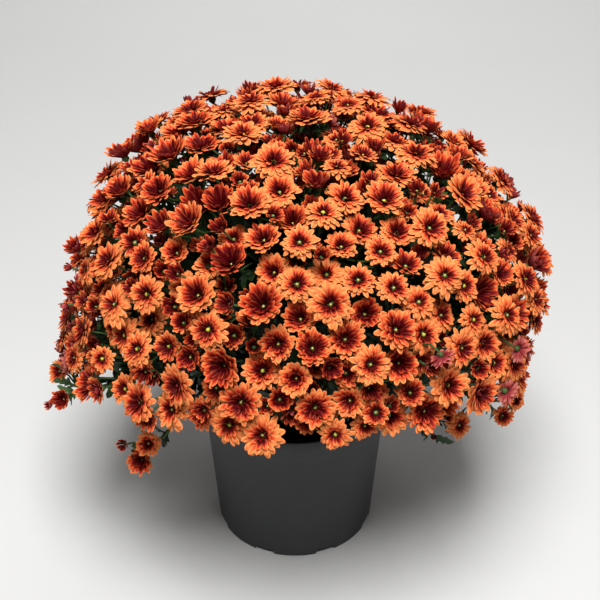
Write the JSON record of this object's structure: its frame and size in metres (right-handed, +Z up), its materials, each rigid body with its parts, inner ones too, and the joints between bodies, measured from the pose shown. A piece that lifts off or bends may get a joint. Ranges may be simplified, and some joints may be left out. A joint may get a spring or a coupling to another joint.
{
  "type": "potted garden chrysanthemum",
  "caption": "Dense round mound of bronze-orange daisy-like blooms on a branching leafy plant in a tapered dark nursery pot with soil",
  "frame": {"origin": "in the middle under the pot, on the plane that its feet stand on", "axes": "+Z points up along the pot's axis and out of the pot's open rim; -Y is the side that the picture shows; +X is to its right"},
  "size_m": [0.5533, 0.5285, 0.5187],
  "materials": {
    "pot": "matte, dark grey injection-moulded plastic",
    "soil": "rough, dark bark-based potting mix",
    "foliage": "satin, dark green lobed leaves and woody green stems",
    "petals": "soft matte, bronze-orange petals with maroon hearts and green stems"
  },
  "bodies": {
    "root": {"pot": "pot", "soil": "soil", "crown": "foliage", "spray_01": "petals", "spray_02": "petals", "spray_03": "petals", "spray_04": "petals", "spray_05": "petals", "spray_06": "petals", "spray_07": "petals", "spray_08": "petals", "spray_09": "petals", "spray_10": "petals", "spray_11": "petals", "spray_12": "petals", "spray_13": "petals", "spray_14": "petals", "spray_15": "petals", "spray_16": "petals", "spray_17": "petals", "spray_18": "petals", "spray_19": "petals", "spray_20": "petals", "spray_21": "petals", "spray_22": "petals", "spray_23": "petals", "spray_24": "petals", "spray_25": "petals", "spray_26": "petals", "spray_27": "petals", "spray_28": "petals", "spray_29": "petals", "spray_30": "petals", "spray_31": "petals", "spray_32": "petals", "spray_33": "petals", "spray_34": "petals", "spray_35": "petals", "spray_36": "petals", "spray_37": "petals", "spray_38": "petals", "spray_39": "petals", "spray_40": "petals", "spray_41": "petals", "spray_42": "petals", "spray_43": "petals", "spray_44": "petals", "spray_45": "petals", "spray_46": "petals", "spray_47": "petals", "spray_48": "petals", "stray_spray_1": "petals", "stray_spray_2": "petals", "stray_spray_3": "petals", "stray_spray_4": "petals"}
  },
  "joints": []
}
